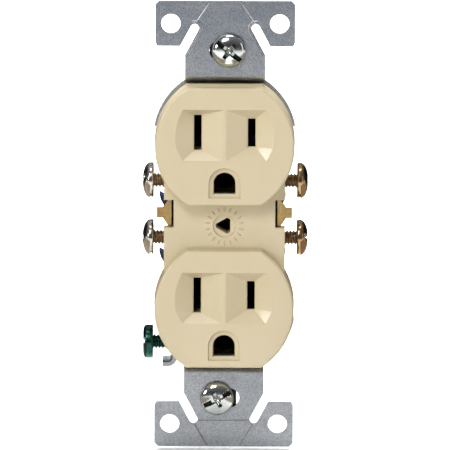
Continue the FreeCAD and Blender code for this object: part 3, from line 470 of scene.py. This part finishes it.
for level, height, left_turn, right_turn in (("upper", 9.75, 30, 62), ("lower", -3.95, 100, -20)):
    make_screw("silver_terminal_%s" % level, "neutral_%s_terminal" % level,
               "neutral_screw_%s" % level,
               (NEUTRAL_SEAT, TERMINAL_BACK, height), (-1, 0, 0),
               TERMINAL, PLAIN, left_turn, [NICKEL, THREAD, SHADOWED])
    make_screw("brass_terminal_%s" % level, "hot_%s_terminal" % level,
               "hot_screw_%s" % level, (HOT_SEAT, TERMINAL_BACK, height), (1, 0, 0),
               TERMINAL, PLAIN, right_turn, [BRONZE, THREAD, SHADOWED])
make_screw("green_ground", "ground_terminal", "ground_screw",
           GROUND_SEAT, (-1, 0, 0), GROUND, PLAIN, 15, [GREEN, GREEN, GREEN], power=6.0,
           edge_share=0.62)
for level, across, height, turn in (("upper", 0.9, 41.67, 52), ("lower", -1.6, -41.67, -62)):
    make_screw("plated_mount_%s" % level, "%s_screw" % level, "%s_mounting_screw" % level,
               (across, MOUNT_SEAT, height), (0, -1, 0), MOUNTING, COMBINED, turn,
               [BRIGHT, BRIGHT, SHADOWED])


# ---------------------------------------------------------------- strap and cover details
STRAP_FRONT = -1.0
BRIDGE_FRONT = -2.5
SLOT_END = (7.2, 46.9)
SLOT_LEAN = math.radians(28.0)
SLOT_RAD = 1.03
SCORE_FROM = (7.0, 48.1)
SCORE_TO = (3.65, 53.25)
TICKS = 18


def bead(name, path, wide, proud, level, material):
    """A low rounded ridge along a path (x, z) on a plane facing -Y, all in mm."""
    mesh = bmesh.new()
    profile = [(-0.5, 0.02), (-0.34, -0.62), (0.0, -1.0), (0.34, -0.62), (0.5, 0.02)]
    rows = []
    for index, spot in enumerate(path):
        before = Vector(path[max(index - 1, 0)])
        after = Vector(path[min(index + 1, len(path) - 1)])
        along = (after - before).normalized()
        side = Vector((-along.y, along.x))
        taper = 0.15 if index in (0, len(path) - 1) else 1.0
        rows.append([mesh.verts.new(((spot[0] + side.x * off * wide * taper) * MM,
                                     (level + rise * proud * (taper if rise < 0 else 1)) * MM,
                                     (spot[1] + side.y * off * wide * taper) * MM))
                     for off, rise in profile])
    for first, second in zip(rows, rows[1:]):
        for index in range(len(profile) - 1):
            mesh.faces.new((first[index], first[index + 1], second[index + 1], second[index]))
        mesh.faces.new((first[-1], first[0], second[0], second[-1]))
    mesh.faces.new(rows[0])
    mesh.faces.new(rows[-1][::-1])
    return piece(name, mesh, [material], "frame", 60)


def coined_edge(name, side, offset):
    """The raised line that follows the inner edge of an upper split slot and turns over its end."""
    end = Vector(SLOT_END)
    down = Vector((math.sin(SLOT_LEAN), -math.cos(SLOT_LEAN)))
    inward = Vector((-math.cos(SLOT_LEAN), -math.sin(SLOT_LEAN)))
    radius = SLOT_RAD + offset
    path = [end + inward * radius + down * step for step in (6.6, 5.0, 3.4, 1.8, 0.6)]
    for step in range(13):
        angle = math.pi * 0.82 * step / 12
        path.append(end + inward * radius * math.cos(angle) - down * radius * math.sin(angle))
    bead(name, [(side * spot.x, spot.y) for spot in path], 0.30, 0.26, STRAP_FRONT, HIGHLIGHT_ZINC)


for label, side in (("left", -1), ("right", 1)):
    coined_edge("coined_inner_%s" % label, side, 0.32)
    coined_edge("coined_outer_%s" % label, side, 0.78)

# score lines are raised beads in the brighter zinc, a painted highlight
for label, side in (("left", -1), ("right", 1)):
    score = [(side * lerp(SCORE_FROM[0], SCORE_TO[0], step / 6),
              lerp(SCORE_FROM[1], SCORE_TO[1], step / 6)) for step in range(7)]
    bead("score_line_%s" % label, score, 0.28, 0.10, STRAP_FRONT, HIGHLIGHT_ZINC)


def ring_mark(name, angle):
    """One short raised tick of the plain ring around the wall-plate hole."""
    aim = Vector((math.cos(angle), math.sin(angle)))
    bead(name, [tuple(aim * reach) for reach in (3.45, 3.6, 4.0, 4.4, 4.55)], 0.36, 0.24,
         BRIDGE_FRONT, IVORY)


for index in range(TICKS):
    ring_mark("ring_tick_%02d" % index, math.radians(10 + 360 / TICKS * index))


# ---------------------------------------------------------------- stage, light and camera
FLOOR_GAP = 0.0006
FLOOR_REACH = 4
CARD_LEVEL = -0.053


def stage_sheet(name, material, corners):
    """A flat four-cornered piece of the stage."""
    mesh = bmesh.new()
    mesh.faces.new([mesh.verts.new(corner) for corner in corners])
    data = bpy.data.meshes.new(name)
    mesh.to_mesh(data)
    mesh.free()
    data.materials.append(material)
    sheet = bpy.data.objects.new(name, data)
    bpy.context.scene.collection.objects.link(sheet)
    return sheet


def floor():
    material, tree, principled = shader("pale_floor")
    tone = ramp(tree, noise(tree, 3, 3), [(0.3, (0.87, 0.87, 0.865)), (0.7, (0.90, 0.90, 0.90))])
    tree.links.new(tone, principled.inputs["Base Color"])
    principled.inputs["Roughness"].default_value = 0.85
    bumps(tree, principled, [(noise(tree, 60, 3), 2e-4)])
    level = cad_box[0][2] - FLOOR_GAP
    stage_sheet("floor", material, [(x * FLOOR_REACH, y * FLOOR_REACH, level)
                                    for x, y in ((-1, -1), (1, -1), (1, 1), (-1, 1))])


floor()


def soft_light(name, spot, target, size, power):
    lamp = bpy.data.lights.new(name, "AREA")
    lamp.shape = "RECTANGLE"
    lamp.size, lamp.size_y = size
    lamp.energy = power
    thing = bpy.data.objects.new(name, lamp)
    thing.location = spot
    thing.rotation_euler = (Vector(target) - Vector(spot)).to_track_quat("-Z", "Y").to_euler()
    bpy.context.scene.collection.objects.link(thing)


soft_light("key", (-0.30, -0.85, 0.80), (0, 0, 0), (0.36, 0.36), 6.0)
soft_light("left", (-0.98, -0.67, 0.32), (0, 0, 0), (0.26, 0.26), 3.1)
soft_light("top", (0.05, -0.12, 1.1), (0, 0, 0), (0.6, 0.3), 2.3)
soft_light("fill", (0.9, -0.5, 0.2), (0, 0, 0), (0.2, 0.6), 0.5)
soft_light("backdrop", (0, 0.80, 0.9), (0, 0.68, -0.05), (1.6, 0.8), 44)


def dark_card(name, tone, corners, lit=False):
    """A dark card off camera, as beside a studio table, seen only in reflections unless lit."""
    material, tree, principled = shader(name)
    deeper = tuple(share * 0.6 for share in tone)
    tree.links.new(ramp(tree, noise(tree, 8, 2), [(0.3, deeper), (0.7, tone)]),
                   principled.inputs["Base Color"])
    principled.inputs["Roughness"].default_value = 1.0
    principled.inputs["Specular IOR Level"].default_value = 0.0
    card = stage_sheet(name, material, corners)
    card.visible_camera = False
    card.visible_diffuse = lit
    card.visible_shadow = False


dark_card("rear_card", (0.02, 0.02, 0.02),
          [(-0.7, 0.2, CARD_LEVEL), (0.7, 0.2, CARD_LEVEL), (0.7, 0.2, 0.5), (-0.7, 0.2, 0.5)])
for label, side in (("left", -1), ("right", 1)):
    corners = [(side * x, y, CARD_LEVEL - 0.0002)
               for x, y in ((0.024, -0.16), (0.5, -0.16), (0.5, 0.2), (0.024, 0.2))]
    dark_card("table_card_" + label, (0.27, 0.23, 0.18), corners, lit=True)

world = bpy.data.worlds.new("studio")
bpy.context.scene.world = world
world.use_nodes = True
tree = world.node_tree
sky = tree.nodes["Background"]
split = add(tree, "ShaderNodeSeparateXYZ")
tree.links.new(add(tree, "ShaderNodeTexCoord").outputs["Generated"], split.inputs["Vector"])
upward = ramp(tree, spread(tree, split.outputs["Z"], 0.0, 1.0, -0.2, 1.0),
              [(0.0, (0.3, 0.3, 0.3)), (0.35, (0.25, 0.26, 0.27)), (0.6, (0.5, 0.5, 0.5)),
               (1.0, (0.9, 0.9, 0.9))])
tree.links.new(upward, sky.inputs["Color"])
sky.inputs["Strength"].default_value = 0.30

scene = bpy.context.scene
scene.view_settings.view_transform = "Standard"
camera_data = bpy.data.cameras.new("camera")
camera = bpy.data.objects.new("camera", camera_data)
scene.collection.objects.link(camera)
DISTANCE = 1.6
ELEVATION = math.radians(9.8)
ROLL = math.radians(0.26)
VIEW_WIDE = 0.10638
SENSOR = 36
aim = Vector((0.00014, -0.001, 0.0))
back = Vector((0, -math.cos(ELEVATION), math.sin(ELEVATION)))
camera.location = aim + back * DISTANCE
look = (-back).to_track_quat("-Z", "Y").to_matrix().to_4x4()
look = look @ Matrix.Rotation(ROLL, 4, "Z")
camera.rotation_euler = look.to_euler()
camera_data.lens = SENSOR * DISTANCE / VIEW_WIDE
camera_data.clip_end = 20
scene.camera = camera
